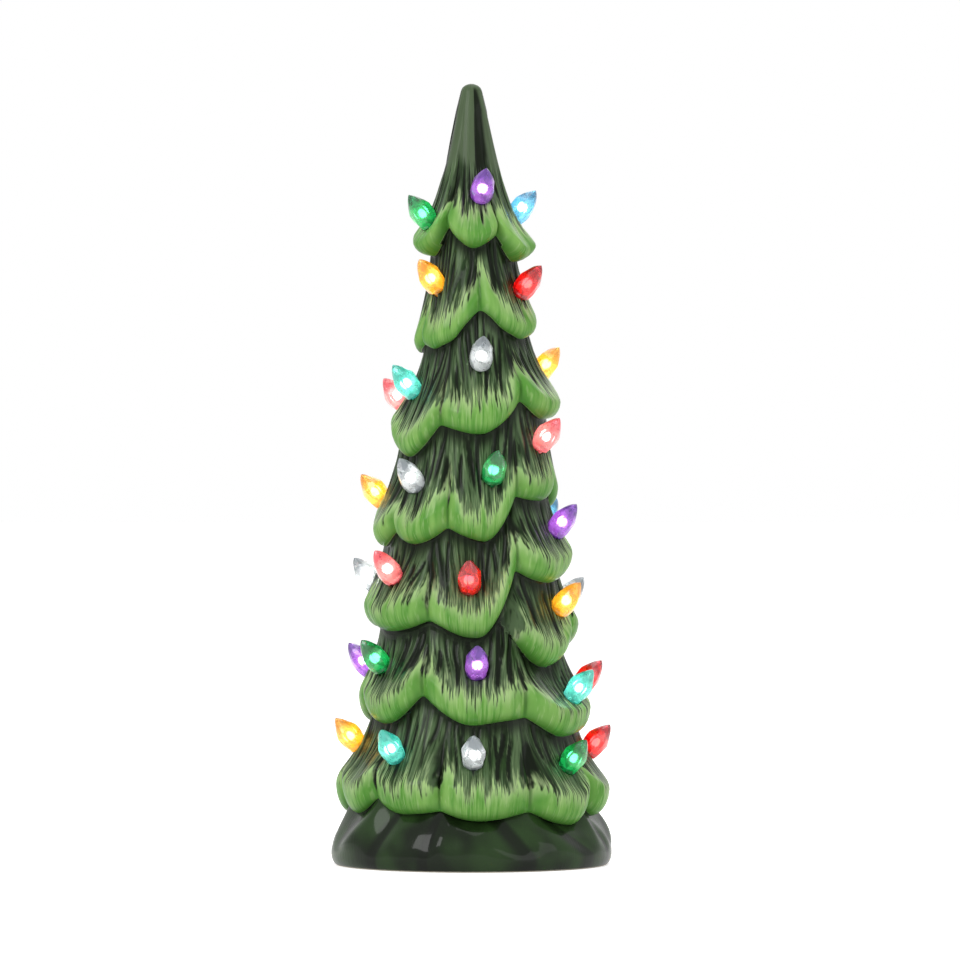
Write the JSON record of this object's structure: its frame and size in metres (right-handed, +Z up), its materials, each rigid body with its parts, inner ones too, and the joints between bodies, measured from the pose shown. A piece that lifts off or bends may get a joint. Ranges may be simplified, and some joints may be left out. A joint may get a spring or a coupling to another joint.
{
  "type": "mini christmas tree",
  "caption": "Glazed ceramic table-top Christmas tree with drooping boughs, plug-in faceted light bulbs and a battery lamp unit in the foot.",
  "frame": {"origin": "centre of the foot, in the plane it stands on, on the tree's axis", "axes": "+Z up along the tree's axis, -Y towards the viewer of the picture, +X to the viewer's right"},
  "size_m": [0.072, 0.072, 0.2],
  "materials": {
    "glaze": "high gloss glaze, dark green with light green bough tips",
    "bulb_green": "clear tinted, faceted",
    "bulb_purple": "clear tinted, faceted",
    "bulb_blue": "clear tinted, faceted",
    "bulb_amber": "clear tinted, faceted",
    "bulb_red": "clear tinted, faceted",
    "bulb_white": "clear tinted, faceted",
    "bulb_aqua": "clear tinted, faceted",
    "bulb_pink": "clear tinted, faceted",
    "white_plastic": "fine satin",
    "black_plastic": "satin",
    "grey_vinyl": "satin",
    "circuit_board": "solder mask",
    "led": "milky lens",
    "tinned_metal": "bright tin",
    "cell_jacket": "satin foil"
  },
  "bodies": {
    "body": {"tree_shell": "glaze", "bulb_row1_1_green": "bulb_green", "bulb_row1_2_purple": "bulb_purple", "bulb_row1_3_blue": "bulb_blue", "bulb_row1_4_red": "bulb_red", "bulb_row1_5_amber": "bulb_amber", "bulb_row2_1_amber": "bulb_amber", "bulb_row2_2_red": "bulb_red", "bulb_row2_3_green": "bulb_green", "bulb_row2_4_white": "bulb_white", "bulb_row3_1_pink": "bulb_pink", "bulb_row3_2_aqua": "bulb_aqua", "bulb_row3_3_white": "bulb_white", "bulb_row3_4_amber": "bulb_amber", "bulb_row3_5_blue": "bulb_blue", "bulb_row4_1_amber": "bulb_amber", "bulb_row4_2_white": "bulb_white", "bulb_row4_3_green": "bulb_green", "bulb_row4_4_pink": "bulb_pink", "bulb_row4_5_purple": "bulb_purple", "bulb_row4_6_red": "bulb_red", "bulb_row5_1_white": "bulb_white", "bulb_row5_2_pink": "bulb_pink", "bulb_row5_3_red": "bulb_red", "bulb_row5_4_purple": "bulb_purple", "bulb_row5_5_blue": "bulb_blue", "bulb_row5_6_aqua": "bulb_aqua", "bulb_row6_1_amber": "bulb_amber", "bulb_row6_2_white": "bulb_white", "bulb_row6_3_green": "bulb_green", "bulb_row7_1_purple": "bulb_purple", "bulb_row7_2_green": "bulb_green", "bulb_row7_3_purple": "bulb_purple", "bulb_row7_4_aqua": "bulb_aqua", "bulb_row7_5_red": "bulb_red", "bulb_row7_6_amber": "bulb_amber", "bulb_row7_7_pink": "bulb_pink", "bulb_row8_1_amber": "bulb_amber", "bulb_row8_2_aqua": "bulb_aqua", "bulb_row8_3_white": "bulb_white", "bulb_row8_4_green": "bulb_green", "bulb_row8_5_red": "bulb_red", "bulb_row8_6_purple": "bulb_purple", "bulb_row8_7_blue": "bulb_blue", "battery_cell_back": "cell_jacket", "battery_cell_front": "cell_jacket", "circuit_board": "circuit_board", "contact_back": "tinned_metal", "contact_front": "tinned_metal", "contact_link": "tinned_metal", "lamp_housing": "white_plastic", "led_1": "led", "led_2": "led", "led_3": "led", "led_4": "led", "led_board": "circuit_board", "switch_body": "tinned_metal", "switch_lead": "grey_vinyl"},
    "door": {"battery_door": "white_plastic"},
    "knob": {"switch_knob": "black_plastic"}
  },
  "joints": [
    {"name": "battery_door_hinge", "type": "hinge", "parent": "body", "child": "door", "pos_m": [-0.0242, 0, 0.0018], "axis": [0, 1, 0], "range_deg": [0, 95]},
    {"name": "switch_slide", "type": "slide", "parent": "body", "child": "knob", "axis": [1, 0, 0], "range_m": [0, 0.003]}
  ]
}
